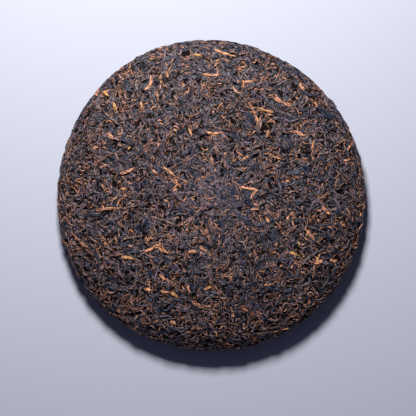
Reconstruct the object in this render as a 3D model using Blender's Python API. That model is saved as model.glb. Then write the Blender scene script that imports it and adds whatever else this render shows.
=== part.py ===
"""A cake of ripe pu-erh tea: twisted tea leaves pressed into one solid disc.

The cake lies on its back on the XY plane with its domed face up. The origin is at the
middle of its foot. Blender's units are metres, and the named sizes are millimetres.
"""

import math
import random

import bmesh
import bpy
import numpy as np
from mathutils import Quaternion, Vector, noise
from mathutils.bvhtree import BVHTree

MM = 0.001

# The cake.
DIAMETER = 200.0
THICKNESS = 24.0
WAIST_HEIGHT = 9.5  # where the rim is widest
DOME_FALL = 3.2  # how far out the domed face stays high
DOME_ROUND = 0.42  # how round its shoulder is
FOOT_OUTER_RADIUS = 68.0  # the flat ring that the cake lies on
FOOT_INNER_RADIUS = 48.0
KNOT_DEPTH = 9.0  # the hollow that the knot of the pressing bag leaves in the back
RADIUS = DIAMETER / 2

# The outline is a little out of round: waves round the rim, their height, and one crest's angle.
OUTLINE_LOBES = ((2, 0.70, -72.0), (3, 0.55, -15.0), (4, 0.40, 30.0))

# The pressed leaves: each is a run of cells whose crests join into one ridge.
CELLS = 18  # along each side of the cube that the cake is shaped from
LEAF_CELLS = (2, 4)
CELL_JITTER = 0.26  # how far a corner strays, against a cell
GRAIN_TURN = 0.16  # how far a slow drift turns the rows of cells
GRAIN_WIDTH = 0.6
RIDGE_HEIGHT = (0.5, 1.5)
GROOVE_DEPTH = 0.5
SWELL_WIDTH = 34.0
SWELL_HEIGHT = 0.9
FOOT_MARGIN = 6.0  # the relief grows to its full height this far from the flat ring

# The largest leaves and stalks, which lie loose on the others and are fused to them.
LEAF_COUNT = 36
LEAF_LENGTH = (13.0, 20.0)
LEAF_WIDTH = (3.0, 4.2)
STALK_SHARE = 0.3
STALK_LENGTH = (19.0, 27.0)
STALK_WIDTH = (2.2, 2.8)
FLATNESS = 0.75  # thickness against width
EXPOSED = 0.15  # how far a leaf's centre line stands out, against its thickness
LEAF_SIDES = 5
LEAF_RINGS = 5
TIP_WIDTH = 0.4  # a blunt tip's width against the middle's
LEAF_BEND = 80.0  # the most that a leaf turns along its length, in degrees
RIM_RADIUS = RADIUS * 0.9
RIM_HEIGHTS = (2.0, 17.0)
RIM_SLANT = 35.0  # a leaf on the rim lies within this angle of running round it
RIM_BEND = 0.4  # how much of its bend it keeps there
FOOT_CLEARANCE = 2.0  # between a leaf's reach and the flat ring
LEAF_FLOOR = 0.3  # no leaf reaches lower than this
GOLDEN_ANGLE = math.pi * (3 - math.sqrt(5))
SEED = 9

TEA_COLOUR = (0.055, 0.038, 0.032, 1.0)


def clear_scene():
    for obj in list(bpy.data.objects):
        bpy.data.objects.remove(obj, do_unlink=True)


def tea_material():
    """Dry pressed leaf: a nearly black brown, dull."""
    material = bpy.data.materials.new("ripe_tea_leaf")
    material.use_nodes = True
    shader = material.node_tree.nodes["Principled BSDF"]
    shader.inputs["Base Color"].default_value = TEA_COLOUR
    shader.inputs["Roughness"].default_value = 0.6
    shader.inputs["Metallic"].default_value = 0.0
    material.diffuse_color = TEA_COLOUR
    return material


def face_height(radius):
    """Height of the domed face, from its middle out to the waist of the rim."""
    fall = max(1 - (radius / RADIUS) ** DOME_FALL, 0.0)
    return WAIST_HEIGHT + (THICKNESS - WAIST_HEIGHT) * fall**DOME_ROUND


def back_height(radius):
    """Height of the back: the knot's hollow, the flat ring, and the round underside of the rim."""
    if radius < FOOT_INNER_RADIUS:
        return KNOT_DEPTH * (1 + math.cos(math.pi * radius / FOOT_INNER_RADIUS)) / 2
    out = max(radius - FOOT_OUTER_RADIUS, 0.0) / (RADIUS - FOOT_OUTER_RADIUS)
    return WAIST_HEIGHT * (1 - math.sqrt(max(1 - out * out, 0.0)))


class Section:
    """Half of the cake's section, from the middle of its face round the rim to the middle of its back.

    A place on it is named by the share of the cake's surface that lies before it, so equal
    steps of the share cover equal areas.
    """

    STEPS = 600

    def __init__(self):
        # These radii close up towards the rim, where the section turns.
        radii = [RADIUS * math.sin(math.pi / 2 * i / self.STEPS) for i in range(self.STEPS + 1)]
        points = [(r, face_height(r)) for r in radii]
        points += [(r, back_height(r)) for r in reversed(radii[:-1])]
        self.radii, self.heights = np.array(points).T
        runs = np.hypot(np.diff(self.radii), np.diff(self.heights))
        bands = runs * (self.radii[1:] + self.radii[:-1])
        self.shares = np.concatenate([[0.0], np.cumsum(bands)]) / bands.sum()
        self.waist_share = float(self.shares[self.STEPS])

    def point(self, share, angle):
        radius = float(np.interp(share, self.shares, self.radii))
        height = float(np.interp(share, self.shares, self.heights))
        radius *= outline_scale(angle)
        return Vector((radius * math.cos(angle), radius * math.sin(angle), height))

    def off_foot(self, share):
        """Millimetres between this place and the flat ring, and 0 on the ring."""
        if share < self.waist_share:
            return FOOT_MARGIN
        radius = float(np.interp(share, self.shares, self.radii))
        return max(radius - FOOT_OUTER_RADIUS, FOOT_INNER_RADIUS - radius, 0.0)


def outline_scale(angle):
    """How much wider the cake is in this direction than a true circle."""
    lobes = sum(h * math.cos(n * (angle - math.radians(at))) for n, h, at in OUTLINE_LOBES)
    return 1 + lobes / RADIUS


def leaf_runs(faces, rng):
    """Splits the cells into runs of neighbours, each of which becomes one leaf."""
    free = set(faces)
    runs = []
    for face in rng.sample(faces, len(faces)):
        if face not in free:
            continue
        run = [face]
        free.remove(face)
        for _ in range(rng.randint(*LEAF_CELLS) - 1):
            near = [f for e in run[-1].edges for f in e.link_faces if f in free]
            if not near:
                break
            run.append(rng.choice(sorted(near, key=lambda f: f.index)))
            free.remove(run[-1])
        runs.append(run)
    return runs


def raise_ridges(bm, rng):
    """Gives each cell a crest, joins the crests of a run, and returns each crest's height."""
    bm.faces.ensure_lookup_table()
    bm.faces.index_update()
    cells = bm.faces[:]
    runs = leaf_runs(cells, rng)
    crossed = []
    level = {}
    for run in runs:
        height = rng.uniform(*RIDGE_HEIGHT)
        level.update({face.index: height for face in run})
        for one, other in zip(run, run[1:]):
            crossed.append(next(e for e in one.edges if e in other.edges[:]))
    levels = [level[face.index] for face in cells]
    crests = bmesh.ops.poke(bm, faces=cells)["verts"]
    bmesh.ops.rotate_edges(bm, edges=crossed)
    return dict(zip(crests, levels))


def on_ball(vert, rng):
    """The vertex of the gridded cube moved out to the ball, strayed a little and drifted."""
    cell = 2 / CELLS
    stray = Vector([rng.uniform(-CELL_JITTER, CELL_JITTER) * cell for _ in range(3)])
    # The tangent gives cells of nearly one size all over the ball.
    ball = Vector([math.tan(c * math.pi / 4) for c in vert.co]).normalized() + stray
    ball += GRAIN_TURN * noise.noise_vector(ball / GRAIN_WIDTH)
    return ball.normalized()


def shape_core(section):
    """The pressed leaves: a gridded cube made a ball, which is then spread over the section."""
    rng = random.Random(SEED)
    bm = bmesh.new()
    bmesh.ops.create_cube(bm, size=2.0)
    bmesh.ops.subdivide_edges(bm, edges=bm.edges[:], cuts=CELLS - 1, use_grid_fill=True)
    heights = raise_ridges(bm, rng)
    shares = {}
    for vert in bm.verts:
        ball = on_ball(vert, rng)
        shares[vert] = (1 - ball.z) / 2
        vert.co = section.point(shares[vert], math.atan2(ball.y, ball.x))
    bm.normal_update()
    places = {}
    for vert, share in shares.items():
        out = heights.get(vert, -GROOVE_DEPTH) + SWELL_HEIGHT * noise.noise(vert.co / SWELL_WIDTH)
        out *= min(section.off_foot(share) / FOOT_MARGIN, 1.0)
        places[vert] = vert.co + vert.normal * out
    for vert, place in places.items():
        vert.co = place
        vert.co.z = max(place.z, 0.0)
    bm.normal_update()
    return bm


def walk(surface, start, heading, step, count, turn):
    """Points that hug the core from start, each with the way out of the core there."""
    place, way = start, heading
    for _ in range(count):
        hit, out, _, _ = surface.find_nearest(place + way * step)
        way = hit - place
        way = (way - out * way.dot(out)).normalized()
        way.rotate(Quaternion(out, turn))
        place = hit
        yield hit, out


def leaf_spine(surface, start, heading, length, bend):
    """The line that a leaf lies along, end to end, as points and the ways out of the core."""
    step = length / (LEAF_RINGS - 1)
    turn = bend / (LEAF_RINGS - 1)
    middle = surface.find_nearest(start)[:2]
    half = LEAF_RINGS // 2
    behind = list(walk(surface, middle[0], -heading, step, half, -turn))
    ahead = list(walk(surface, middle[0], heading, step, LEAF_RINGS - 1 - half, turn))
    return [*reversed(behind), middle, *ahead]


def shape_leaf(spine, width):
    """A rolled leaf: a capped cylinder cut into rings, flattened, tapered and laid along its spine."""
    bm = bmesh.new()
    bmesh.ops.create_cone(bm, cap_ends=True, segments=LEAF_SIDES, radius1=1.0, radius2=1.0, depth=1.0)
    long_edges = [e for e in bm.edges if abs(e.verts[0].co.z - e.verts[1].co.z) > 0.5]
    bmesh.ops.subdivide_edges(bm, edges=long_edges, cuts=LEAF_RINGS - 2)
    thickness = width * FLATNESS
    last = LEAF_RINGS - 1
    for vert in bm.verts:
        ring = round((vert.co.z + 0.5) * last)
        point, out = spine[ring]
        along = (spine[min(ring + 1, last)][0] - spine[max(ring - 1, 0)][0]).normalized()
        across = out.cross(along).normalized()
        out = along.cross(across)
        off_middle = abs(2 * ring / last - 1)
        taper = TIP_WIDTH + (1 - TIP_WIDTH) * math.sqrt(1 - off_middle**2)
        lift = thickness * (EXPOSED + vert.co.y * taper / 2)
        vert.co = point + across * vert.co.x * taper * width / 2 + out * lift
        vert.co.z = max(vert.co.z, LEAF_FLOOR)
    return bm


def mesh_object(name, bm, collection):
    bmesh.ops.scale(bm, verts=bm.verts[:], vec=(MM, MM, MM))
    mesh = bpy.data.meshes.new(name)
    bm.to_mesh(mesh)
    bm.free()
    obj = bpy.data.objects.new(name, mesh)
    collection.objects.link(obj)
    return obj


def leaf_sizes(rng):
    """Length and width of each leaf and stalk, the largest first."""
    sizes = []
    for _ in range(LEAF_COUNT):
        stalk = rng.random() < STALK_SHARE
        length = rng.uniform(*(STALK_LENGTH if stalk else LEAF_LENGTH))
        width = rng.uniform(*(STALK_WIDTH if stalk else LEAF_WIDTH))
        sizes.append((length, width))
    return sorted(sizes, reverse=True)


def lay_leaves(section, surface, collection):
    """Leaves spread evenly over the cake, all but its flat ring, each turned at random."""
    rng = random.Random(SEED)
    order = list(range(LEAF_COUNT))
    rng.shuffle(order)
    for number, (length, width) in zip(order, leaf_sizes(rng)):
        share = (number + 0.5) / LEAF_COUNT
        angle = number * GOLDEN_ANGLE
        start = section.point(share, angle)
        radius = math.hypot(start.x, start.y)
        slant = rng.uniform(0.0, math.pi)
        bend = math.radians(rng.uniform(-LEAF_BEND, LEAF_BEND))
        near_foot = section.off_foot(share) < length / 2 + FOOT_CLEARANCE
        if share > section.waist_share and near_foot:
            continue
        if RIM_HEIGHTS[0] < start.z < RIM_HEIGHTS[1] and radius > RIM_RADIUS:
            slant = math.radians(rng.uniform(-RIM_SLANT, RIM_SLANT))
            bend *= RIM_BEND
        out = surface.find_nearest(start)[1]
        around = Vector((-math.sin(angle), math.cos(angle), 0.0))
        heading = (around - out * around.dot(out)).normalized()
        heading.rotate(Quaternion(out, slant))
        spine = leaf_spine(surface, start, heading, length, bend)
        mesh_object(f"leaf_{number:03d}", shape_leaf(spine, width), collection)


def keep_largest_shell(mesh):
    """Fills each hollow that the leaves close off, and drops scraps that hang on by an edge."""
    bm = bmesh.new()
    bm.from_mesh(mesh)
    left = set(bm.faces)
    shells = []
    while left:
        shell = [left.pop()]
        for face in shell:
            for edge in face.edges:
                if len(edge.link_faces) > 2:
                    continue
                joined = left.intersection(edge.link_faces)
                left -= joined
                shell.extend(joined)
        shells.append(shell)
    shells.sort(key=len)
    for shell in shells[:-1]:
        bmesh.ops.delete(bm, geom=shell, context="FACES")
    bm.to_mesh(mesh)
    bm.free()


def fuse(body, collection):
    """Joins everything in the collection to the body, and drops the pieces."""
    union = body.modifiers.new("fused_leaves", "BOOLEAN")
    union.operation = "UNION"
    union.operand_type = "COLLECTION"
    union.collection = collection
    union.solver = "MANIFOLD"
    graph = bpy.context.evaluated_depsgraph_get()
    fused = bpy.data.meshes.new_from_object(body.evaluated_get(graph))
    body.modifiers.clear()
    body.data = fused
    keep_largest_shell(fused)
    for piece in list(collection.objects):
        bpy.data.objects.remove(piece, do_unlink=True)
    bpy.data.collections.remove(collection)


def main():
    clear_scene()
    noise.seed_set(SEED)
    scene = bpy.context.scene
    cake_collection = bpy.data.collections.new("pu_erh_tea_cake")
    leaf_collection = bpy.data.collections.new("leaves")
    scene.collection.children.link(cake_collection)
    scene.collection.children.link(leaf_collection)

    section = Section()
    core = shape_core(section)
    lay_leaves(section, BVHTree.FromBMesh(core), leaf_collection)
    cake = mesh_object("tea_cake", core, cake_collection)
    fuse(cake, leaf_collection)
    cake.data.materials.clear()
    cake.data.materials.append(tea_material())


main()
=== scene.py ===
# A ripe pu-erh tea cake: thousands of twisted leaves, buds and stalks pressed into one disc.
# It lies on its back with its domed face up. Lengths are in metres unless a note says millimetres.
import math

import bmesh
import bpy
import numpy as np
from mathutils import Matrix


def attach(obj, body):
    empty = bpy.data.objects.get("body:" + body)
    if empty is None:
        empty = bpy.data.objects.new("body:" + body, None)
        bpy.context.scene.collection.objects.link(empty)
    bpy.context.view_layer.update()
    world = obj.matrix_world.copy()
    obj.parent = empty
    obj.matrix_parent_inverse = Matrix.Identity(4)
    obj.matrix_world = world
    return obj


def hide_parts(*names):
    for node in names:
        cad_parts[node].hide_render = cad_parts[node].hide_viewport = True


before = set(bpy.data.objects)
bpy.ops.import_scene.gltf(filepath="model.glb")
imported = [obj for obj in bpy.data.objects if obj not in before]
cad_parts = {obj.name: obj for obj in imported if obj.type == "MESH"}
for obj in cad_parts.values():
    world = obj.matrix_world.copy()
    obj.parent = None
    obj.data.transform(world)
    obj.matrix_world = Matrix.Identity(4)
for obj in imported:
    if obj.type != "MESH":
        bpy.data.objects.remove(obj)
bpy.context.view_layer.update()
print("stage: frame loaded")

mm = 0.001
draw = np.random.default_rng(88)

cake = {
    "radius": 0.100,
    "thickness": 0.024,
    "waistHeight": 0.0095,  # where the rim is widest
    "domeFall": 3.2,  # how far out the domed face stays high
    "domeRound": 0.42,  # how round its shoulder is
    "footOuter": 0.068,  # the flat ring that the cake lies on
    "footInner": 0.048,
    "knotDepth": 0.009,  # the hollow that the knot of the pressing bag leaves in the back
    "lobes": ((2, 0.70, -72), (3, 0.55, -15), (4, 0.40, 30)),  # waves round the rim, mm, a crest's angle
    "matDepth": 1.15 * mm,  # how far the core lies inside the cake's surface
    "floorGap": 0.05 * mm,  # the lowest that a leaf of the back may reach
    "floorPress": 0.6 * mm,  # below this height the floor presses the leaves flatter
    "sectionSteps": 1200,
}

view = {
    "distance": 1.35,  # from the camera down to the rim's waist
    "middle": (-1.75 * mm, -7.7 * mm),  # what the photograph's middle looks at
    "frameWidth": 268.9 * mm,  # what it takes in at the height of the rim's waist
    "sensor": 36.0,  # the camera's own millimetres
}


def linear(hexColour):
    channels = [int(hexColour[i : i + 2], 16) / 255 for i in (1, 3, 5)]
    lit = [c / 12.92 if c <= 0.04045 else ((c + 0.055) / 1.055) ** 2.4 for c in channels]
    return (*lit, 1.0)


# The cake's section, from the middle of the face round the rim to the middle of the back.


def faceHeight(radius):
    fall = np.clip(1 - (radius / cake["radius"]) ** cake["domeFall"], 0, None)
    return cake["waistHeight"] + (cake["thickness"] - cake["waistHeight"]) * fall ** cake["domeRound"]


def backHeight(radius):
    hollow = cake["knotDepth"] * (1 + np.cos(np.pi * np.minimum(radius / cake["footInner"], 1))) / 2
    out = np.clip(radius - cake["footOuter"], 0, None) / (cake["radius"] - cake["footOuter"])
    return hollow + cake["waistHeight"] * (1 - np.sqrt(np.clip(1 - out * out, 0, None)))


def sectionTable():
    steps = cake["sectionSteps"]
    out = cake["radius"] * np.sin(np.linspace(0, np.pi / 2, steps))
    radii = np.concatenate([out, out[-2::-1]])
    heights = np.concatenate([faceHeight(out), backHeight(out[-2::-1])])
    along = np.concatenate([[0], np.cumsum(np.hypot(np.diff(radii), np.diff(heights)))])
    slopeR, slopeZ = np.gradient(radii, along), np.gradient(heights, along)
    unit = np.hypot(slopeR, slopeZ)
    return {
        "along": along,
        "radii": radii,
        "heights": heights,
        "outR": -slopeZ / unit,
        "outZ": slopeR / unit,
        "waist": along[steps - 1],
        "whole": along[-1],
    }


section = sectionTable()


def outlineScale(angle):
    swell = sum(h * mm * np.cos(n * (angle - math.radians(at))) for n, h, at in cake["lobes"])
    return 1 + swell / cake["radius"]


# A chart is one side of the cake unrolled flat round its middle: a place on it lies as far from
# the chart's middle as a walk over the cake is long. Height is measured out of the core.
def onCake(side, chartX, chartY, height):
    walk = np.hypot(chartX, chartY)
    angle = np.arctan2(chartY, chartX)
    if side == "back":
        walk = section["whole"] - walk
        angle = -angle
    out = height - cake["matDepth"]
    radius = np.interp(walk, section["along"], section["radii"]) * outlineScale(angle)
    radius = radius + out * np.interp(walk, section["along"], section["outR"])
    z = np.interp(walk, section["along"], section["heights"])
    z = z + out * np.interp(walk, section["along"], section["outZ"])
    room = cake["floorPress"] - cake["floorGap"]
    squeezed = cake["floorGap"] + room * np.exp(np.minimum(z - cake["floorPress"], 0) / room)
    z = np.where(z < cake["floorPress"], squeezed, z)
    return np.stack([radius * np.cos(angle), radius * np.sin(angle), z], axis=-1)


# Materials.


def addNode(tree, kind, settings=None, links=None):
    node = tree.nodes.new(kind)
    for name, value in (settings or {}).items():
        if isinstance(name, int) or name in node.inputs:
            node.inputs[name].default_value = value
        else:
            setattr(node, name, value)
    for name, source in (links or {}).items():
        tree.links.new(source, node.inputs[name])
    return node


def newMaterial(name):
    material = bpy.data.materials.new(name)
    material.use_nodes = True
    tree = material.node_tree
    return material, tree, tree.nodes["Principled BSDF"]


def rampOf(tree, factor, stops):
    ramp = addNode(tree, "ShaderNodeValToRGB", links={"Fac": factor})
    line = ramp.color_ramp
    while len(line.elements) < len(stops):
        line.elements.new(0.5)
    for element, (place, colour) in zip(line.elements, stops):
        element.position = place
        element.color = linear(colour)
    return ramp.outputs["Color"]


# Dried tea leaf, rolled while green and then fermented. The rolling crumples each leaf along its
# length, and the dried juices give it a faint gloss. The crumples' crests are painted lighter and their
# hollows darker, a painted highlight and painted shade over the leaf's own streaky tone. Real crumples
# are a few tenths of a millimetre apart: they are drawn about twice as coarse, so that the picture shows
# them.
leafGrain = {
    "crumples": (0.45, 1.9, 1.9),  # to a millimetre, along and across the leaf
    "crumpleDetail": 2.0,
    "crumpleRoughness": 0.55,
    "crumpleTint": 8.6,  # painted highlight and shade: how much lighter the crumples' crests are, and darker their hollows
    "crumpleBump": 0.9,
    "blotches": 0.55,  # to a millimetre
    "blotchDetail": 2.0,
    "blotchTint": 0.4,
    "tintShift": 4.55,  # brings the sum of the tints back to the middle of the colours
    "ior": 1.45,  # dried plant juices
}


def leafMaterial(name, stops, rough, crumpleDepth, gloss):
    material, tree, shader = newMaterial(name)
    # The grain attribute is in millimetres along and across the leaf.
    grain = addNode(tree, "ShaderNodeAttribute", {"attribute_name": "grain"})
    tint = addNode(tree, "ShaderNodeAttribute", {"attribute_name": "tint"})
    along = addNode(
        tree, "ShaderNodeMapping", {"Scale": leafGrain["crumples"]}, {"Vector": grain.outputs["Vector"]}
    )
    crumple = addNode(
        tree,
        "ShaderNodeTexNoise",
        {"Scale": 1.0, "Detail": leafGrain["crumpleDetail"], "Roughness": leafGrain["crumpleRoughness"]},
        {"Vector": along.outputs["Vector"]},
    )
    blotch = addNode(
        tree,
        "ShaderNodeTexNoise",
        {"Scale": leafGrain["blotches"], "Detail": leafGrain["blotchDetail"]},
        {"Vector": grain.outputs["Vector"]},
    )
    # The crumples' crests are made lighter and their hollows darker: painted highlight and painted shade,
    # over the leaf's own streaks.
    crumpled = addNode(
        tree,
        "ShaderNodeMath",
        {"operation": "MULTIPLY_ADD", 1: leafGrain["crumpleTint"]},
        {0: crumple.outputs["Fac"], 2: tint.outputs["Fac"]},
    )
    blotched = addNode(
        tree,
        "ShaderNodeMath",
        {"operation": "MULTIPLY_ADD", 1: leafGrain["blotchTint"]},
        {0: blotch.outputs["Fac"], 2: crumpled.outputs["Value"]},
    )
    shade = addNode(
        tree,
        "ShaderNodeMath",
        {"operation": "SUBTRACT", 1: leafGrain["tintShift"]},
        {0: blotched.outputs["Value"]},
    )
    tree.links.new(rampOf(tree, shade.outputs["Value"], stops), shader.inputs["Base Color"])
    roughness = addNode(
        tree,
        "ShaderNodeMapRange",
        {"To Min": rough[0], "To Max": rough[1]},
        {"Value": blotch.outputs["Fac"]},
    )
    tree.links.new(roughness.outputs["Result"], shader.inputs["Roughness"])
    bump = addNode(
        tree,
        "ShaderNodeBump",
        {"Strength": leafGrain["crumpleBump"], "Distance": crumpleDepth * mm},
        {"Height": crumple.outputs["Fac"]},
    )
    tree.links.new(bump.outputs["Normal"], shader.inputs["Normal"])
    shader.inputs["IOR"].default_value = leafGrain["ior"]
    shader.inputs["Specular IOR Level"].default_value = gloss
    return material


# Tea dust and the undersides of leaves, pressed into the core: dull, and coloured nearly black as
# painted shade, for it shows in the deep gaps alone. Its grit is a few tenths of a millimetre wide and
# drawn about four times as coarse, so that it shows.
shadedCoreDust = {
    "gritScale": 700.0,  # to a metre
    "gritDetail": 3.0,
    "gritRoughness": 0.6,
    "gritDepth": 0.3 * mm,
    "gritBump": 0.8,
    "colours": ((0.35, "#050203"), (0.5, "#0d0708"), (0.68, "#1f1415")),
    "roughness": 0.9,
    "gloss": 0.1,
}


def coreMaterial():
    material, tree, shader = newMaterial("pressedTeaDust")
    place = addNode(tree, "ShaderNodeTexCoord")
    grit = addNode(
        tree,
        "ShaderNodeTexNoise",
        {
            "Scale": shadedCoreDust["gritScale"],
            "Detail": shadedCoreDust["gritDetail"],
            "Roughness": shadedCoreDust["gritRoughness"],
        },
        {"Vector": place.outputs["Object"]},
    )
    # The near-black colours are painted shade for the gaps between the leaves.
    tree.links.new(rampOf(tree, grit.outputs["Fac"], shadedCoreDust["colours"]), shader.inputs["Base Color"])
    bump = addNode(
        tree,
        "ShaderNodeBump",
        {"Strength": shadedCoreDust["gritBump"], "Distance": shadedCoreDust["gritDepth"]},
        {"Height": grit.outputs["Fac"]},
    )
    tree.links.new(bump.outputs["Normal"], shader.inputs["Normal"])
    shader.inputs["Roughness"].default_value = shadedCoreDust["roughness"]
    shader.inputs["Specular IOR Level"].default_value = shadedCoreDust["gloss"]
    return material


# Modelling helpers. Everything is deselected first, because an operator acts on all that is selected.


def deselectAll():
    if bpy.context.mode != "OBJECT":
        bpy.ops.object.mode_set(mode="OBJECT")
    bpy.ops.object.select_all(action="DESELECT")


def startEdit(piece):
    deselectAll()
    piece.select_set(True)
    bpy.context.view_layer.objects.active = piece
    bpy.ops.object.mode_set(mode="EDIT")
    bpy.ops.mesh.select_mode(type="VERT")
    bpy.ops.mesh.select_all(action="DESELECT")


def pickVerts(piece, wanted):
    bpy.ops.mesh.select_all(action="DESELECT")
    bm = bmesh.from_edit_mesh(piece.data)
    for vert in bm.verts:
        vert.select = wanted(vert.co)
    bm.select_flush(True)
    bmesh.update_edit_mesh(piece.data)


def pickEdges(piece, wanted):
    bpy.ops.mesh.select_mode(type="EDGE")
    bpy.ops.mesh.select_all(action="DESELECT")
    bm = bmesh.from_edit_mesh(piece.data)
    for edge in bm.edges:
        edge.select = wanted(edge.verts[0].co, edge.verts[1].co)
    bmesh.update_edit_mesh(piece.data)


def resizeAt(middle, factors):
    bpy.ops.transform.resize(value=factors, center_override=middle)


# One leaf of each shape, a unit long along X and a unit wide and high. Its copies are bent,
# twisted and sized one by one when they are laid. Folds is how far each corner of a leaf's
# section lies from its middle, round the leaf: the low ones are the creases that rolling leaves.
# Widths is how wide the leaf is from one end to the other, and stray how uneven its points are.
rolls = {
    "pleatA": {
        "folds": (1.0, 0.50, 0.95, 0.46, 1.0, 0.55),
        "widths": (0.42, 0.80, 0.98, 0.92, 1.0, 0.90, 0.92, 0.72, 0.36),
        "stray": 0.04,
        "seed": 3,
    },
    "pleatB": {
        "folds": (1.0, 0.52, 1.0, 0.42, 0.95, 0.50, 1.0, 0.55),
        "widths": (0.48, 0.86, 1.0, 0.92, 0.88, 0.96, 0.88, 0.66, 0.34),
        "stray": 0.04,
        "seed": 11,
    },
    "twistA": {
        "folds": (1.0, 0.50, 0.95, 0.45),
        "widths": (0.35, 0.78, 0.96, 0.90, 0.94, 1.0, 0.86, 0.66, 0.32),
        "stray": 0.04,
        "seed": 4,
    },
    "twistB": {
        "folds": (1.0, 0.42, 1.0, 0.75, 0.55),
        "widths": (0.48, 0.86, 1.0, 0.95, 0.86, 0.92, 0.92, 0.70, 0.36),
        "stray": 0.04,
        "seed": 7,
    },
    "ribbon": {
        "folds": (1.0, 0.45, 1.0, 0.38),
        "widths": (0.38, 0.78, 0.94, 0.90, 1.0, 0.90, 0.86, 0.92, 0.70, 0.32),
        "stray": 0.035,
        "seed": 15,
    },
    "plain": {
        "folds": (1.0, 0.60, 1.0, 0.55),
        "widths": (0.55, 0.90, 1.0, 0.80, 0.50),
        "stray": 0.08,
        "seed": 21,
    },
    "bud": {
        "folds": (1.0, 0.72, 1.0, 0.85, 0.65, 0.95),
        "widths": (0.40, 0.80, 1.0, 0.85, 0.95, 0.70, 0.35),
        "stray": 0.07,
        "seed": 5,
    },
    "stalk": {
        "folds": (1.0, 0.90, 1.0, 0.82, 0.95),
        "widths": (0.85, 0.95, 0.80, 0.85, 1.0, 0.75),
        "stray": 0.03,
        "seed": 9,
    },
}


def modelRoll(name):
    values = rolls[name]
    sides, rings = len(values["folds"]), len(values["widths"])
    deselectAll()
    bpy.ops.mesh.primitive_cylinder_add(vertices=sides, radius=0.5, depth=1.0, rotation=(0, math.pi / 2, 0))
    roll = bpy.context.object
    roll.name = name
    bpy.ops.object.transform_apply(location=False, rotation=True, scale=False)
    startEdit(roll)
    pickEdges(roll, lambda a, b: abs(a.x - b.x) > 0.5)
    bpy.ops.mesh.subdivide(number_cuts=rings - 2)
    bpy.ops.mesh.select_mode(type="VERT")
    step = 2 * math.pi / sides
    for corner, fold in enumerate(values["folds"]):
        pickVerts(roll, lambda co, c=corner: round(math.atan2(co.z, co.y) / step) % sides == c)
        resizeAt((0, 0, 0), (1, fold, fold))
    for ring, width in enumerate(values["widths"]):
        at = ring / (rings - 1) - 0.5
        pickVerts(roll, lambda co, at=at: abs(co.x - at) < 1e-4)
        resizeAt((at, 0, 0), (1, width, width))
    bpy.ops.mesh.select_all(action="SELECT")
    bpy.ops.transform.vertex_random(offset=values["stray"], seed=values["seed"])
    bpy.ops.object.mode_set(mode="OBJECT")
    return roll


# Torn pieces of unrolled leaves: a small grid, its edges curled up, given a thickness.
torn = {
    "flakes": {"flakeA": {"seed": 2, "curl": 0.25}, "flakeB": {"seed": 8, "curl": -0.2}},
    "tipWidth": 0.45,
    "edgeFrom": 0.2,  # how far from the middle line the curled edges begin
    "cornerCurl": 0.6,  # how far a corner is curled, against the edge
    "stray": 0.10,
    "thickness": 0.3,
}


def modelFlake(name):
    values = torn["flakes"][name]
    deselectAll()
    bpy.ops.mesh.primitive_grid_add(x_subdivisions=4, y_subdivisions=2, size=1.0)
    flake = bpy.context.object
    flake.name = name
    startEdit(flake)
    pickVerts(flake, lambda co: abs(co.x) > 0.49)
    resizeAt((0, 0, 0), (1, torn["tipWidth"], 1))
    pickVerts(flake, lambda co: co.y > torn["edgeFrom"])
    bpy.ops.transform.translate(value=(0, 0, values["curl"]))
    pickVerts(flake, lambda co: co.y < -torn["edgeFrom"] and co.x > 0)
    bpy.ops.transform.translate(value=(0, 0, values["curl"] * torn["cornerCurl"]))
    bpy.ops.mesh.select_all(action="SELECT")
    bpy.ops.transform.vertex_random(offset=torn["stray"], seed=values["seed"])
    bpy.ops.object.mode_set(mode="OBJECT")
    shell = flake.modifiers.new("thickness", "SOLIDIFY")
    shell.thickness = torn["thickness"]
    shell.offset = 0
    bpy.ops.object.modifier_apply(modifier=shell.name)
    return flake


crumbShape = {"stray": 0.12, "seed": 4}


def modelCrumb(name):
    deselectAll()
    bpy.ops.mesh.primitive_ico_sphere_add(subdivisions=1, radius=0.5)
    crumb = bpy.context.object
    crumb.name = name
    startEdit(crumb)
    bpy.ops.mesh.select_all(action="SELECT")
    bpy.ops.transform.vertex_random(offset=crumbShape["stray"], seed=crumbShape["seed"])
    bpy.ops.object.mode_set(mode="OBJECT")
    return crumb


ridgeLimit = 1.5  # how far a point may stand off the mean, in deviations, before it is all ridge or crease


def shapeOf(model):
    # The model's points, how far each stands out of its middle line, and its faces as one run of
    # corners with the size of each face.
    mesh = model.data
    points = np.empty(len(mesh.vertices) * 3)
    mesh.vertices.foreach_get("co", points)
    points = points.reshape(-1, 3)
    corners = np.empty(len(mesh.loops), np.int32)
    mesh.loops.foreach_get("vertex_index", corners)
    sizes = np.array([len(face.vertices) for face in mesh.polygons], np.int32)
    bpy.data.objects.remove(model, do_unlink=True)
    out = np.hypot(points[:, 1], points[:, 2])
    ridge = np.clip((out - out.mean()) / (out.std() + 1e-9), -ridgeLimit, ridgeLimit) / ridgeLimit
    return {"points": points, "ridge": ridge, "corners": corners, "sizes": sizes}


shapes = {name: shapeOf(modelRoll(name)) for name in rolls}
shapes.update({name: shapeOf(modelFlake(name)) for name in torn["flakes"]})
shapes["crumb"] = shapeOf(modelCrumb("crumb"))
print("stage: leaf shapes modelled")


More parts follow.
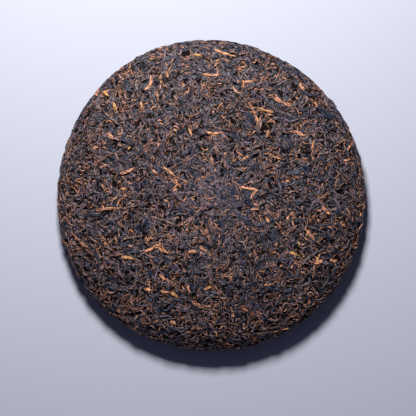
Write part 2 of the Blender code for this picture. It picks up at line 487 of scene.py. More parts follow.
# What the cake is made of. Lengths and widths are in millimetres, and bend and twist in degrees.
# share: how many of the leaves are of this kind; warmth: how much browner than black they are, which
# draws them to the browner patches; flat: thickness against width; sway: how much they wave;
# rise: how late in the pile they are laid, from 0 to 1.
leafKinds = {
    "underLeaf": {
        "share": 0.15,
        "warmth": 0.0,
        "shapes": ("plain",),
        "length": (5.0, 12.0),
        "width": (1.8, 3.0),
        "flat": (0.28, 0.42),
        "bend": 90,
        "sway": 0.30,
        "twist": (0, 60),
        "rise": (-0.4, 0.1),
    },
    "blackFold": {
        "share": 0.10,
        "warmth": -0.9,
        "shapes": ("pleatB",),
        "length": (6.0, 15.0),
        "width": (1.5, 2.6),
        "flat": (0.28, 0.42),
        "bend": 140,
        "sway": 0.25,
        "twist": (0, 60),
        "rise": (0.0, 0.9),
    },
    "darkFold": {
        "share": 0.13,
        "warmth": -0.3,
        "shapes": ("pleatA", "pleatB"),
        "length": (5.5, 14.0),
        "width": (1.3, 2.2),
        "flat": (0.32, 0.48),
        "bend": 160,
        "sway": 0.28,
        "twist": (0, 70),
        "rise": (0.1, 1.0),
    },
    "brownFold": {
        "share": 0.035,
        "warmth": 0.7,
        "shapes": ("pleatA", "pleatB"),
        "length": (5.0, 12.0),
        "width": (1.2, 2.0),
        "flat": (0.32, 0.48),
        "bend": 160,
        "sway": 0.28,
        "twist": (0, 70),
        "rise": (0.1, 1.0),
    },
    "plumLeaf": {
        "share": 0.15,
        "warmth": -0.6,
        "shapes": ("twistA", "twistB", "ribbon"),
        "length": (4.5, 12.5),
        "width": (0.95, 1.65),
        "flat": (0.45, 0.65),
        "bend": 170,
        "sway": 0.34,
        "twist": (10, 120),
        "rise": (0.1, 1.0),
    },
    "darkLeaf": {
        "share": 0.17,
        "warmth": -0.2,
        "shapes": ("twistA", "twistB", "ribbon"),
        "length": (4.5, 12.5),
        "width": (0.90, 1.60),
        "flat": (0.45, 0.68),
        "bend": 180,
        "sway": 0.34,
        "twist": (10, 130),
        "rise": (0.1, 1.0),
    },
    "brownLeaf": {
        "share": 0.085,
        "warmth": 0.8,
        "shapes": ("twistA", "twistB", "ribbon"),
        "length": (4.0, 10.5),
        "width": (0.85, 1.45),
        "flat": (0.45, 0.70),
        "bend": 190,
        "sway": 0.36,
        "twist": (10, 140),
        "rise": (0.1, 1.0),
    },
    "curledLeaf": {
        "share": 0.05,
        "warmth": 0.5,
        "shapes": ("ribbon",),
        "length": (5.0, 12.0),
        "width": (0.80, 1.30),
        "flat": (0.55, 0.80),
        "bend": 310,
        "sway": 0.40,
        "twist": (20, 180),
        "rise": (0.4, 1.0),
    },
    "flake": {
        "share": 0.045,
        "warmth": -1.2,
        "shapes": ("flakeA", "flakeB"),
        "length": (2.5, 6.0),
        "width": (1.6, 2.8),
        "flat": (0.12, 0.20),
        "bend": 50,
        "sway": 0.1,
        "twist": (0, 35),
        "rise": (0.2, 0.9),
    },
    "rustLeaf": {
        "share": 0.032,
        "warmth": 1.0,
        "shapes": ("twistA", "twistB"),
        "length": (2.5, 8.0),
        "width": (0.9, 1.7),
        "flat": (0.45, 0.70),
        "bend": 140,
        "sway": 0.3,
        "twist": (10, 110),
        "rise": (0.4, 1.0),
    },
    "goldBud": {
        "share": 0.002,
        "warmth": 0.5,
        "shapes": ("bud",),
        "length": (2.0, 4.5),
        "width": (1.2, 1.9),
        "flat": (0.6, 0.8),
        "bend": 45,
        "sway": 0.1,
        "twist": (0, 90),
        "rise": (0.5, 1.0),
    },
    "stalk": {
        "share": 0.005,
        "warmth": 0.0,
        "shapes": ("stalk",),
        "length": (7.0, 15.0),
        "width": (0.9, 1.4),
        "flat": (0.75, 1.0),
        "bend": 30,
        "sway": 0.15,
        "twist": (0, 120),
        "rise": (0.3, 0.95),
    },
    "crumb": {
        "share": 0.028,
        "warmth": 0.3,
        "shapes": ("crumb",),
        "length": (0.9, 2.2),
        "width": (0.8, 1.6),
        "flat": (0.5, 0.9),
        "bend": 0,
        "sway": 0.0,
        "twist": (0, 90),
        "rise": (0.2, 1.0),
    },
}

pile = {
    "faceLeaves": 9600,
    "backLeaves": 2400,
    "backLonger": 1.5,  # the finest leaves are laid on the face
    "backWider": 2.2,
    "stray": 2.0,  # mm from an even spread
    "flowWidth": 13.0,  # mm; neighbours this near run the same way
    "flowSpread": 22,  # degrees that a leaf turns off the flow
    "longRise": 0.5,  # how much later than the short leaves the long ones are laid
    "standWider": 1.25,  # a leaf's creases make it look narrower than its width
    "patchWidth": 12.0,  # mm, the patches where the leaves are darker or browner
    "patchShare": 0.5,  # how strongly a patch favours its kinds
    "samples": 27,  # points along a leaf where it feels what it lies on
    "stiff": 2.8,  # samples over which a leaf evens out what it lies on
    "cell": 0.4,  # mm, the grid that the pile's height is kept on
    "sink": 0.45,  # how far a leaf presses into what it lies on, against its thickness
    "bite": 0.4,  # how far the highest thing under it may press into a leaf
    "evenWidth": 2.6,  # mm, how widely the press evens the pile out
    "leastCover": 0.05,  # the thinnest cover of leaves that the press still reads a height from
    "level": 1.25,  # mm, the pressed pile's mean height over the core
    "left": 0.7,  # how much of the pile's unevenness the press leaves
    "relief": 1.5,  # mm, the farthest that a leaf may stand off that height
    "margin": 21.0,  # mm of chart beyond the waist, for leaves that lie across it
    "rimFrom": 0.86,  # how far out the rim begins, of the way to the waist
    "rimFade": 0.08,  # over how much of that way it comes on
    "rimFlow": 0.7,  # how many of the leaves near the rim lie along it
    "shorter": 1.3,  # past 1, more of the leaves are short
    "narrower": 1.2,  # and narrow
    "bendSpread": 0.6,
    "swayWaves": 1.3,  # waves along a leaf
    "hooked": 0.2,  # how many leaves have a hooked end
    "hook": 9,  # four times the radians that the end turns
    "laidFlat": ("flake", "underLeaf", "blackFold", "darkFold", "brownFold"),
    "flatRoll": 0.15,  # radians that these are turned over by
    "tint": 0.5,  # the leaves' mean, and the least and most of one leaf
    "tintLimits": (-0.1, 1.1),
    "ridgeTint": 0.50,  # painted shade and highlight: how much lighter a leaf's ridges are than its creases
    "riseTint": 0.18,  # painted shade: how much darker the leaves laid low in the pile are than those on top
    "patchTint": 0.06,  # how much lighter a brown patch is
    "strayTint": 0.08,  # how much one leaf differs from the next
    "grainSpread": 200.0,  # mm of the crumples' pattern that the leaves are spread over
    "sharpEdge": 60,  # degrees between faces, past which the edge stays sharp
    "middleWidth": 26.0,  # mm, the middle of the face, which is pressed flattest
    "middlePress": 0.45,  # how much flatter that is, and how much fainter the painted shade and highlight of its ridges
    "middleTint": 0.48,  # how much lighter it is
    "middleCooler": 1.3,  # how much fewer brown leaves lie there
    "flowSeeds": {"face": 5, "back": 6},
    "patchSeed": 21,
}

# Smooth fields are sums of waves that run every way; calm keeps the sum between about -1 and 1.
swells ={"count": 7, "stretch": (0.7, 1.5), "calm": 1.6}

# The buds, stalks and rusty leaves that stand out on the face, in millimetres from its middle:
# where each begins and ends, how far it bows to the left of the line between, and its width.
standouts = {
    "stalk": (
        (-77.4, 62.8, -57.3, 44.7, -0.6, 1.0),
        (-39.2, -13.5, -23.7, -18.7, 0.6, 1.1),
    ),
    "goldBud": (
        (-69.6, 67.9, -65.7, 64.1, 0.0, 1.5),
        (-62.8, 60.5, -60.2, 55.0, -0.5, 1.8),
        (-45.4, 60.8, -43.8, 54.7, 0.5, 1.4),
        (-12.1, 90.9, -5.0, 90.9, -0.4, 1.2),
        (30.2, 57.6, 41.6, 54.6, -0.5, 1.4),
        (-57.6, -39.6, -48.9, -41.3, 0.6, 1.9),
        (-4.3, -60.4, 0.6, -58.4, -0.4, 1.9),
        (-26.3, -62.0, -20.9, -65.6, -0.4, 2.0),
        (50.6, -36.5, 56.1, -38.7, 0.4, 1.7),
        (45.8, -86.2, 50.6, -85.3, -0.3, 1.3),
    ),
    "rustLeaf": (
        (-34.7, 67.0, -34.6, 59.5, 0.4, 1.3),
        (-66.7, 41.4, -63.5, 37.2, -0.3, 1.9),
        (-14.3, 44.0, -12.7, 37.6, 0.6, 1.2),
        (-3.0, 40.8, 7.3, 41.4, -0.8, 1.2),
        (1.8, 95.1, 15.7, 90.9, -0.6, 1.2),
        (-38.6, 77.0, -42.7, 67.9, 2.3, 1.5),
        (-5.6, 78.5, 6.0, 78.3, -0.5, 1.1),
        (-32.1, 19.1, -23.1, 12.5, 0.5, 1.3),
        (-23.1, 12.5, -19.8, 5.2, -0.5, 1.2),
        (-38.2, 17.5, -33.4, 13.8, -0.4, 1.1),
        (-60.1, 14.3, -48.5, 19.1, -0.6, 1.3),
        (23.5, 61.5, 27.7, 55.7, 0.5, 1.3),
        (27.7, 55.7, 30.6, 46.0, 0.5, 1.4),
        (41.9, 66.0, 46.7, 61.1, -1.0, 1.9),
        (47.4, 62.1, 52.6, 58.9, -0.5, 1.7),
        (17.0, 74.4, 29.8, 74.8, -0.4, 1.1),
        (51.6, 42.1, 61.6, 38.5, 0.8, 1.5),
        (67.3, 36.5, 66.4, 29.2, -0.6, 1.3),
        (20.9, 24.0, 25.4, 26.6, -0.3, 1.2),
        (36.8, 28.2, 46.7, 24.0, -0.5, 1.2),
        (58.4, 74.4, 61.3, 69.2, -0.5, 1.5),
        (88.8, 29.5, 91.2, 34.0, -0.3, 1.2),
        (86.2, 22.7, 91.2, 24.9, -0.3, 1.2),
        (-32.8, -61.0, -26.3, -62.2, -0.6, 1.4),
        (-26.6, -82.0, -22.8, -83.0, 0.3, 1.7),
        (-42.5, -35.5, -36.0, -32.6, -0.5, 1.6),
        (-37.3, -32.6, -30.8, -31.3, -0.4, 2.0),
        (-32.1, -31.6, -27.0, -37.4, -0.8, 1.4),
        (-35.4, -32.3, -30.8, -36.1, 0.4, 1.3),
        (-74.8, -9.6, -58.8, -8.3, 0.8, 1.4),
        (-32.8, -50.4, -28.9, -54.2, -0.5, 1.4),
        (-7.3, -32.3, -2.4, -35.5, -0.5, 1.5),
        (-43.1, -59.4, -38.2, -60.7, -0.5, 1.7),
        (-59.3, 4.9, -55.1, 5.2, -0.3, 1.3),
        (35.7, -12.9, 38.3, -17.4, -0.4, 1.3),
        (49.1, -16.1, 53.8, -10.3, 0.6, 1.2),
        (61.6, -21.3, 68.7, -29.7, -0.4, 1.4),
        (66.4, -43.2, 73.2, -40.7, -0.8, 1.7),
        (76.5, -41.3, 82.3, -41.6, -0.6, 1.5),
        (83.6, -16.5, 87.9, -19.8, -0.4, 1.2),
        (51.6, -78.0, 55.1, -76.2, -0.3, 1.3),
        (18.6, 6.5, 30.6, 4.6, -0.6, 1.3),
        (30.6, 4.6, 26.0, -1.9, -0.6, 1.3),
        (71.9, -6.4, 77.8, -12.2, -0.3, 1.6),
    ),
    "crumb": (
        (-54.8, 38.8, -53.1, 38.8, 0.0, 1.2),
        (-69.9, 3.3, -68.8, 3.3, 0.0, 1.1),
    ),
    "curledLeaf": (
        (14.4, 71.2, 20.9, 67.3, -1.9, 1.0),
        (41.6, -42.6, 42.5, -45.2, -1.3, 1.0),
    ),
    "flake": (
        (69.7, 58.9, 79.7, 50.5, -0.3, 2.6),
        (23.5, 54.6, 28.6, 46.6, 0.0, 2.6),
        (59.7, 20.1, 65.5, 16.2, -0.3, 2.4),
        (50.6, 14.3, 59.0, 16.9, -0.3, 2.0),
    ),
    "brownLeaf": (
        (-90.9, -24.5, -78.2, -34.2, -0.6, 1.4),
        (-11.8, -67.6, -4.0, -72.2, -0.9, 2.0),
    ),
}


def waves(x, y, width, seed):
    # A smooth field between about -1 and 1 whose swells are this wide.
    turns = np.random.default_rng(seed)
    total = np.zeros_like(x)
    for _ in range(swells["count"]):
        way, phase = turns.uniform(0, 2 * np.pi, 2)
        stretch = turns.uniform(*swells["stretch"])
        total = total + np.sin((x * np.cos(way) + y * np.sin(way)) * np.pi / (width * stretch) + phase)
    return total / math.sqrt(swells["count"] / 2) / swells["calm"]


def between(limits, count, power=1.0):
    return limits[0] + (limits[1] - limits[0]) * draw.random(count) ** power


def reachOf(side):
    # How far the chart's middle is from the waist, in millimetres.
    return (section["waist"] if side == "face" else section["whole"] - section["waist"]) / mm


def middleShare(x, y):
    # 1 in the middle of the face, falling to 0 outside it.
    return np.exp(-((x**2 + y**2) / pile["middleWidth"] ** 2))


def spinesOf(x, y, heading, length, bend, sway, hook):
    # The line along each leaf, from its middle outwards. The hook bends one end more than the other.
    steps = pile["samples"]
    t = np.linspace(-0.5, 0.5, steps)
    phase = draw.uniform(0, 1, len(x))
    angle = heading[:, None] + bend[:, None] * t + hook[:, None] * np.clip(t, 0, None) ** 2
    angle += sway[:, None] * np.sin(2 * np.pi * (pile["swayWaves"] * t + phase[:, None]))
    half = (angle[:, 1:] + angle[:, :-1]) / 2
    stride = length[:, None] / (steps - 1)
    runX = np.concatenate([np.zeros((len(x), 1)), np.cumsum(np.cos(half) * stride, axis=1)], axis=1)
    runY = np.concatenate([np.zeros((len(x), 1)), np.cumsum(np.sin(half) * stride, axis=1)], axis=1)
    middle = steps // 2
    runX += x[:, None] - runX[:, middle : middle + 1]
    runY += y[:, None] - runY[:, middle : middle + 1]
    return runX, runY, angle


def scatterLeaves(side):
    # Millimetres on the chart: an even spiral spread, strayed a little, out to the waist.
    count, reach = pile[side + "Leaves"], reachOf(side)
    number = np.arange(count)
    out = reach * np.sqrt((number + 0.5) / count)
    turn = number * math.pi * (3 - math.sqrt(5))
    x = out * np.cos(turn) + draw.normal(0, pile["stray"], count)
    y = out * np.sin(turn) + draw.normal(0, pile["stray"], count)
    names = list(leafKinds)
    shares = np.array([leafKinds[n]["share"] for n in names])
    warmth = np.array([leafKinds[n]["warmth"] for n in names])
    patch = waves(x, y, pile["patchWidth"], pile["patchSeed"])
    if side == "face":
        patch -= pile["middleCooler"] * middleShare(x, y)
    odds = np.cumsum(shares * np.exp(pile["patchShare"] * warmth * patch[:, None]), axis=1)
    kind = (draw.random(count)[:, None] > odds / odds[:, -1:]).sum(axis=1)
    leaves = {"x": x, "y": y, "kind": kind, "shape": np.zeros(count, int)}
    for key in ("length", "width", "flat", "bend", "sway", "twist", "rise"):
        leaves[key] = np.zeros(count)
    for index, name in enumerate(names):
        these = np.flatnonzero(kind == index)
        values = leafKinds[name]
        leaves["length"][these] = between(values["length"], len(these), pile["shorter"])
        leaves["width"][these] = between(values["width"], len(these), pile["narrower"])
        leaves["flat"][these] = between(values["flat"], len(these))
        leaves["bend"][these] = np.radians(values["bend"]) * draw.normal(0, pile["bendSpread"], len(these))
        leaves["sway"][these] = values["sway"] * draw.normal(0, 1, len(these))
        sign = draw.choice([-1, 1], len(these))
        leaves["twist"][these] = np.radians(between(values["twist"], len(these))) * sign
        leaves["rise"][these] = between(values["rise"], len(these))
        low, high = values["length"]
        longer = (leaves["length"][these] - low) / (high - low) - 0.5
        leaves["rise"][these] += pile["longRise"] * longer * (values["rise"][1] - values["rise"][0])
        leaves["shape"][these] = draw.integers(0, len(values["shapes"]), len(these))
    if side == "back":
        leaves["length"] *= pile["backLonger"]
        leaves["width"] *= pile["backWider"]
        leaves["flat"] *= pile["backLonger"] / pile["backWider"]
    flow = np.pi * waves(x, y, pile["flowWidth"], pile["flowSeeds"][side])
    atRim = np.clip((np.hypot(x, y) / reach - pile["rimFrom"]) / pile["rimFade"], 0, 1) * pile["rimFlow"]
    flow = np.where(draw.random(count) < atRim, np.arctan2(x, -y), flow)
    heading = flow + np.radians(pile["flowSpread"]) * draw.normal(0, 1, count)
    hook = np.where(draw.random(count) < pile["hooked"], draw.normal(0, pile["hook"], count), 0)
    leaves["runX"], leaves["runY"], leaves["angle"] = spinesOf(
        x, y, heading, leaves["length"], leaves["bend"], leaves["sway"], hook
    )
    leaves["roll"] = draw.uniform(0, 2 * np.pi, count)
    flat = np.isin(kind, [names.index(n) for n in pile["laidFlat"]])
    leaves["roll"][flat] = draw.normal(0, pile["flatRoll"], flat.sum())
    leaves["roll"][flat] += np.pi * draw.integers(0, 2, flat.sum())  # half of them face down
    # Leaves laid early, low in the pile, are painted darker as painted shade; the patch and stray tints are
    # the leaves' own tone.
    tint = pile["tint"] + pile["riseTint"] * (leaves["rise"] - 0.5) + pile["patchTint"] * patch
    tint += draw.normal(0, pile["strayTint"], count) + pile["middleTint"] * middleShare(x, y)
    leaves["tint"] = np.clip(tint, *pile["tintLimits"])
    if side == "face":
        placed = placeStandouts(names)
        leaves = {key: np.concatenate([leaves[key], placed[key]]) for key in placed}
    return leaves


# How the leaves that stand out are laid.
standing = {
    "flat": (0.5, 0.7),
    "flakeFlat": 0.16,
    "twist": 50,  # degrees, to either side
    "rise": (1.3, 0.1),  # how late they are laid, and how much later still the last one is
    "roll": 0.2,  # radians
    "tint": (0.55, 0.92),
    "straight": 0.01,  # radians; a leaf that turns less is as long as the line between its ends
}


def placeStandouts(names):
    rows = [(names.index(name), *row) for name, group in standouts.items() for row in group]
    kind, x0, y0, x1, y1, bow, width = np.array(rows).T
    kind = kind.astype(int)
    chord = np.hypot(x1 - x0, y1 - y0)
    turning = 4 * np.arctan2(2 * bow, chord)
    heading = np.arctan2(y1 - y0, x1 - x0)
    middleX = (x0 + x1) / 2 - np.sin(heading) * bow
    middleY = (y0 + y1) / 2 + np.cos(heading) * bow
    # The face stands nearer the camera than the rim's waist, which the places are measured at.
    nearer = 1 - (cake["thickness"] - cake["waistHeight"]) / view["distance"]
    seen = np.hypot(middleX, middleY) * nearer
    half = len(section["along"]) // 2
    walk = np.interp(seen * mm, section["radii"][: half + 1], section["along"][: half + 1]) / mm
    stretch = walk / np.hypot(middleX, middleY)
    x, y = middleX * stretch, middleY * stretch
    curved = np.abs(turning) > standing["straight"]
    length = chord * np.where(curved, turning / 2 / np.sin(turning / 2 + 1e-12), 1)
    none = np.zeros(len(kind))
    leaves = {"x": x, "y": y, "kind": kind, "length": length, "bend": -turning, "sway": none}
    leaves["width"] = width * pile["standWider"]
    leaves["flat"] = draw.uniform(*standing["flat"], len(kind))
    leaves["flat"][kind == names.index("flake")] = standing["flakeFlat"]
    leaves["twist"] = np.radians(draw.uniform(-standing["twist"], standing["twist"], len(kind)))
    leaves["rise"] = standing["rise"][0] + standing["rise"][1] * draw.random(len(kind))
    leaves["shape"] = np.zeros(len(kind), int)
    leaves["roll"] = draw.normal(0, standing["roll"], len(kind))
    leaves["tint"] = draw.uniform(*standing["tint"], len(kind))
    leaves["runX"], leaves["runY"], leaves["angle"] = spinesOf(x, y, heading, length, -turning, none, none)
    return leaves


def layPile(leaves, reach):
    # Each leaf in turn comes to lie on what is under it, a little sunk in, and raises the pile there.
    cell, steps = pile["cell"], pile["samples"]
    cells = int(2 * (reach + pile["margin"]) / cell)
    ground = np.zeros((cells, cells))
    thick = leaves["width"] * leaves["flat"]
    across = np.array([-0.4, -0.2, 0, 0.2, 0.4])  # where it is felt, in leaf widths
    fall = 0.5 - 0.9 * across**2  # the leaf's section is round on top
    offset = leaves["width"][:, None, None] * across
    x = leaves["runX"][:, :, None] - np.sin(leaves["angle"])[:, :, None] * offset
    y = leaves["runY"][:, :, None] + np.cos(leaves["angle"])[:, :, None] * offset
    column = np.clip((x / cell + cells / 2).astype(int), 0, cells - 1)
    row = np.clip((y / cell + cells / 2).astype(int), 0, cells - 1)
    near = np.arange(steps)
    weights = np.exp(-((near[:, None] - near[None, :]) ** 2) / (2 * pile["stiff"] ** 2))
    weights /= weights.sum(axis=1, keepdims=True)
    heights = np.zeros((len(thick), steps))
    for leaf in np.argsort(leaves["rise"], kind="stable"):
        rows, columns = row[leaf], column[leaf]
        under = ground[rows, columns].max(axis=1)
        rest = np.maximum(weights @ under, under - pile["bite"] * thick[leaf])
        middle = rest + (0.5 - pile["sink"]) * thick[leaf]
        heights[leaf] = middle
        ground[rows, columns] = np.maximum(ground[rows, columns], middle[:, None] + fall * thick[leaf])
    return heights, ground


def evenedOut(ground):
    # The pile's mean height round every place on it, which the press brings to one level.
    there = (ground > 0).astype(float)
    waviness = np.fft.fftfreq(len(ground), pile["cell"])
    soft = np.exp(-2 * (np.pi * pile["evenWidth"]) ** 2 * (waviness[:, None] ** 2 + waviness[None, :] ** 2))

    def blurred(field):
        return np.fft.ifft2(np.fft.fft2(field) * soft).real

    return blurred(ground * there) / np.maximum(blurred(there), pile["leastCover"])


def pressed(height, even, x, y, side):
    # The press brings the pile to one level, and leaves the leaves standing off it a little.
    half = len(even) / 2
    column = np.clip((x / pile["cell"] + half).astype(int), 0, len(even) - 1)
    row = np.clip((y / pile["cell"] + half).astype(int), 0, len(even) - 1)
    left = pile["left"] * (1 - pile["middlePress"] * (middleShare(x, y) if side == "face" else 0.0))
    return pile["level"] + pile["relief"] * np.tanh(left * (height - even[row, column]) / pile["relief"])


def bendCopies(side, leaves, heights, even, these, shape):
    # Every copy of one shape at once: sized, twisted, bent along its spine and laid on the cake.
    points = shape["points"]
    t = np.clip(points[:, 0] + 0.5, 0, 1) * (pile["samples"] - 1)
    low = np.minimum(t.astype(int), pile["samples"] - 2)
    part = t - low

    def along(values):
        return values[these][:, low] * (1 - part) + values[these][:, low + 1] * part

    width = leaves["width"][these, None]
    thick = width * leaves["flat"][these, None]
    turn = leaves["roll"][these, None] + leaves["twist"][these, None] * points[:, 0]
    sideways = (points[:, 1] * np.cos(turn) - points[:, 2] * np.sin(turn)) * width
    up = (points[:, 1] * np.sin(turn) + points[:, 2] * np.cos(turn)) * thick
    angle = along(leaves["angle"])
    x = along(leaves["runX"]) - np.sin(angle) * sideways
    y = along(leaves["runY"]) + np.cos(angle) * sideways
    height = pressed(along(heights) + up, even, x, y, side)
    placed = onCake(side, x * mm, y * mm, height * mm)
    shift = leaves["length"][these, None] * points[:, 0]
    grain = np.stack([shift, points[:, 1] * width, points[:, 2] * width], axis=-1)
    grain += draw.uniform(0, pile["grainSpread"], (len(these), 1, 3))
    middling = middleShare(leaves["x"][these, None], leaves["y"][these, None]) if side == "face" else 0.0
    # The creases are painted darker and the ridges lighter: painted shade and painted highlight, fainter in
    # the flatter middle.
    ridgeTint = pile["ridgeTint"] * (1 - pile["middlePress"] * middling)
    tint = leaves["tint"][these, None] + ridgeTint * shape["ridge"]
    return placed.reshape(-1, 3), grain.reshape(-1, 3), tint.ravel()


def joinMesh(name, parts):
    # parts: (points, grain, tint, shape, copies) for each shape that the piece is made of.
    points = np.concatenate([p[0] for p in parts])
    grain = np.concatenate([p[1] for p in parts])
    tint = np.concatenate([p[2] for p in parts])
    corners, sizes, start = [], [], 0
    for _, _, _, shape, copies in parts:
        count = len(shape["points"])
        corners.append((shape["corners"][None, :] + start + count * np.arange(copies)[:, None]).ravel())
        sizes.append(np.tile(shape["sizes"], copies))
        start += count * copies
    corners, sizes = np.concatenate(corners), np.concatenate(sizes)
    mesh = bpy.data.meshes.new(name)
    mesh.vertices.add(len(points))
    mesh.vertices.foreach_set("co", points.ravel().astype(np.float32))
    mesh.loops.add(len(corners))
    mesh.loops.foreach_set("vertex_index", corners.astype(np.int32))
    mesh.polygons.add(len(sizes))
    mesh.polygons.foreach_set("loop_start", np.concatenate([[0], np.cumsum(sizes)[:-1]]).astype(np.int32))
    mesh.update(calc_edges=True)
    mesh.validate()
    mesh.attributes.new("grain", "FLOAT_VECTOR", "POINT").data.foreach_set(
        "vector", grain.ravel().astype(np.float32)
    )
    mesh.attributes.new("tint", "FLOAT", "POINT").data.foreach_set("value", tint.astype(np.float32))
    mesh.shade_smooth()
    mesh.set_sharp_from_angle(angle=math.radians(pile["sharpEdge"]))
    piece = bpy.data.objects.new(name, mesh)
    bpy.context.scene.collection.objects.link(piece)
    print(f"stage: {name}, {int((sizes - 2).sum())} triangles")
    return piece


def finish(piece, material):
    piece.data.materials.clear()
    piece.data.materials.append(material)
    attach(piece, "root")
    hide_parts("tea_cake")


# The shades that fermenting leaves: the material's name, its colours from creases to crests, its
# least and most roughness, the depth of its crumples in millimetres, and its gloss. The dark ends of
# the colours are painted shade in the creases and the light ends painted highlight on the crests,
# with the leaves' own tone between.
leafShades = {
    # The leaves under the others: the blackest and dullest, coloured near black as painted shade, since
    # they show only deep in the gaps.
    "underLeaf": (
        "buriedTeaLeaf", ((0.1, "#030202"), (0.5, "#0e090b"), (0.9, "#281e20")), (0.45, 0.7), 0.6, 0.2
    ),
    # Folded leaves keep a broad, smooth side, with the most gloss on the black ones, whose blue tint is
    # a painted reflection of the cool surroundings.
    "blackFold": (
        "foldedBlackTeaLeaf", ((0.1, "#040304"), (0.6, "#151520"), (0.98, "#4a485a")), (0.3, 0.5), 0.8, 0.4
    ),
    "darkFold": (
        "foldedDarkTeaLeaf", ((0.1, "#050203"), (0.6, "#1e181f"), (0.98, "#76666d")), (0.3, 0.5), 0.8, 0.35
    ),
    "brownFold": (
        "foldedBrownTeaLeaf", ((0.1, "#090404"), (0.6, "#301f1c"), (0.98, "#9d7060")), (0.35, 0.55), 0.8, 0.3
    ),
    # Rolled leaves are wiry, with fine crests painted light: older ones dark, younger ones browner.
    "plumLeaf": (
        "driedPlumTeaLeaf", ((0.1, "#050204"), (0.6, "#1b151d"), (0.98, "#7e6b77")), (0.3, 0.5), 0.8, 0.4
    ),
    "darkLeaf": (
        "driedBlackTeaLeaf", ((0.1, "#050203"), (0.6, "#25191a"), (0.98, "#98766e")), (0.3, 0.5), 0.8, 0.35
    ),
    "brownLeaf": (
        "driedBrownTeaLeaf", ((0.1, "#0b0404"), (0.6, "#38221d"), (0.98, "#b07a60")), (0.35, 0.55), 0.8, 0.3
    ),
    "curledLeaf": (
        "curledTeaLeaf", ((0.1, "#0b0505"), (0.6, "#392421"), (0.98, "#cd9780")), (0.35, 0.55), 0.8, 0.3
    ),
    # Flat leaf that was never rolled: black with a sheen, its blue tint a painted reflection of the cool
    # surroundings.
    "flake": ("flatTeaLeaf", ((0.1, "#06080f"), (0.5, "#121625"), (0.9, "#2e3346")), (0.3, 0.5), 0.5, 0.45),
    # Young leaves, downy tips and stalks stay the lightest: dull rust, gold and grey-brown.
    "rustLeaf": (
        "driedRustTeaLeaf", ((0.1, "#2a120c"), (0.5, "#713e2b"), (0.95, "#df9f78")), (0.5, 0.75), 0.5, 0.3
    ),
    "goldBud": ("goldTeaBud", ((0.1, "#5c331f"), (0.5, "#9c693f"), (0.9, "#cc9864")), (0.55, 0.8), 0.4, 0.3),
    "stalk": ("driedTeaStalk", ((0.1, "#221415"), (0.5, "#503b37"), (0.9, "#876a5f")), (0.5, 0.75), 0.3, 0.3),
    # Broken leaf shows its lighter, rougher inside.
    "crumb": ("brokenTeaLeaf", ((0.1, "#150d0f"), (0.5, "#46332f"), (0.9, "#a5826e")), (0.5, 0.8), 0.3, 0.3),
}


def buildLeaves():
    made = {name: [] for name in leafKinds}
    for side in ("face", "back"):
        leaves = scatterLeaves(side)
        heights, ground = layPile(leaves, reachOf(side))
        even = evenedOut(ground)
        print(f"stage: {side} laid, {len(heights)} leaves")
        for index, name in enumerate(leafKinds):
            for number, shapeName in enumerate(leafKinds[name]["shapes"]):
                these = np.flatnonzero((leaves["kind"] == index) & (leaves["shape"] == number))
                shape = shapes[shapeName]
                made[name].append((*bendCopies(side, leaves, heights, even, these, shape), shape, len(these)))
    return made


for name, parts in buildLeaves().items():
    finish(joinMesh(name, parts), leafMaterial(*leafShades[name]))


# The pressed mass under the leaves, turned ring by ring like a pot.
coreShape = {
    "around": 220,
    "rings": 96,
    "lumpWidth": 6.0,  # mm
    "lumpHeight": 0.4,  # mm
    "lumpSeed": 31,
}


def buildCore():
    deselectAll()
    walks = np.linspace(0, section["whole"], coreShape["rings"] + 2)[1:-1]
    radii = np.interp(walks, section["along"], section["radii"])
    heights = np.interp(walks, section["along"], section["heights"])
    bpy.ops.mesh.primitive_circle_add(
        vertices=coreShape["around"], radius=radii[0], fill_type="NOTHING", location=(0, 0, heights[0])
    )
    core = bpy.context.object
    core.name = "pressedCore"
    bpy.ops.object.transform_apply(location=True, rotation=False, scale=False)
    startEdit(core)
    bpy.ops.mesh.select_all(action="SELECT")
    for ring in range(1, len(walks)):
        bpy.ops.mesh.extrude_edges_move(
            TRANSFORM_OT_translate={"value": (0, 0, heights[ring] - heights[ring - 1])}
        )
        grow = radii[ring] / radii[ring - 1]
        resizeAt((0, 0, heights[ring]), (grow, grow, 1))
    # The holes left in the middles of the back and the face are closed with fans.
    for height, radius in ((heights[-1], radii[-1]), (heights[0], radii[0])):
        bpy.ops.mesh.select_all(action="DESELECT")
        pickVerts(
            core, lambda co, h=height, r=radius: abs(co.z - h) < 1e-5 and math.hypot(co.x, co.y) < r * 1.01
        )
        bpy.ops.mesh.edge_face_add()
        bpy.ops.mesh.poke()
    bpy.ops.mesh.select_all(action="SELECT")
    bpy.ops.mesh.normals_make_consistent(inside=False)
    bpy.ops.object.mode_set(mode="OBJECT")
    sinkCore(core)
    return core


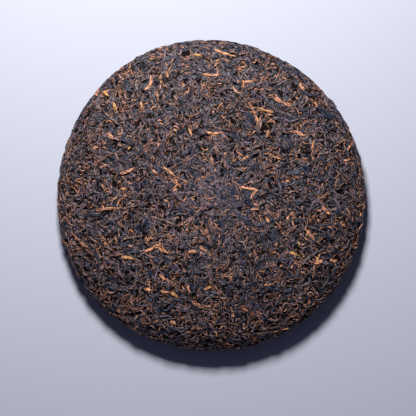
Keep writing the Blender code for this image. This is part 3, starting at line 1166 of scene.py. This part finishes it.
def sinkCore(core):
    # Every point moves in from the cake's surface to the depth where the leaves begin, with lumps.
    mesh = core.data
    points = np.empty(len(mesh.vertices) * 3)
    mesh.vertices.foreach_get("co", points)
    points = points.reshape(-1, 3)
    radius = np.hypot(points[:, 0], points[:, 1])
    angle = np.arctan2(points[:, 1], points[:, 0])
    half = len(section["along"]) // 2
    facing = np.abs(points[:, 2] - faceHeight(radius)) < np.abs(points[:, 2] - backHeight(radius))
    walk = np.where(
        facing,
        np.interp(radius, section["radii"][: half + 1], section["along"][: half + 1]),
        np.interp(radius, section["radii"][half:][::-1], section["along"][half:][::-1]),
    )
    x, y, z = points.T / mm
    lump = waves(x, y + z, coreShape["lumpWidth"], coreShape["lumpSeed"])
    height = coreShape["lumpHeight"] * lump * mm
    placed = onCake("face", walk * np.cos(angle), walk * np.sin(angle), height)
    mesh.vertices.foreach_set("co", placed.ravel().astype(np.float32))
    mesh.update()
    mesh.shade_smooth()


core = buildCore()
finish(core, coreMaterial())
print("stage: core made")


# A plain pale floor, soft studio light from the top of the face, and a camera square over it.
studio = {
    "floorSize": 6.0,
    "floorColour": "#b9bcc9",  # matte paper
    "floorRoughness": 0.9,
    "floorHeight": -0.05 * mm,
    "keyPlace": (-0.07, 0.44, 0.50),  # slanting, so that every leaf throws a small shadow
    "keyAim": (0.0, 0.02, 0.0),
    "keySize": 0.16,
    "keyPower": 7.4,
    "fillColour": "#b0b1df",  # faint cool light from all round, as deep shadows are bluish
    "fillStrength": 0.10,
}


def buildStudio():
    deselectAll()
    bpy.ops.mesh.primitive_plane_add(size=studio["floorSize"], location=(0, 0, studio["floorHeight"]))
    floor = bpy.context.object
    floor.name = "studioFloor"
    material, _, shader = newMaterial("mattePaperFloor")
    shader.inputs["Base Color"].default_value = linear(studio["floorColour"])
    shader.inputs["Roughness"].default_value = studio["floorRoughness"]
    floor.data.materials.append(material)

    bpy.ops.object.light_add(type="AREA", location=studio["keyPlace"])
    key = bpy.context.object
    key.name = "keyLight"
    key.data.size = studio["keySize"]
    key.data.energy = studio["keyPower"]
    aim = np.array(studio["keyAim"]) - np.array(studio["keyPlace"])
    across = math.atan2(aim[0], -aim[2])
    down = math.atan2(aim[1], math.hypot(aim[0], aim[2]))
    key.rotation_euler = (down, -across, 0)

    world = bpy.data.worlds.new("paleStudio")
    bpy.context.scene.world = world
    world.use_nodes = True
    background = world.node_tree.nodes["Background"]
    background.inputs["Color"].default_value = linear(studio["fillColour"])
    background.inputs["Strength"].default_value = studio["fillStrength"]

    bpy.ops.object.camera_add(location=(*view["middle"], view["distance"] + cake["waistHeight"]))
    camera = bpy.context.object
    camera.name = "viewCamera"
    camera.rotation_euler = (0, 0, 0)
    camera.data.sensor_width = view["sensor"]
    camera.data.lens = view["sensor"] * view["distance"] / view["frameWidth"]
    bpy.context.scene.camera = camera
    bpy.context.scene.view_settings.view_transform = "Standard"


buildStudio()
print("stage: studio ready")
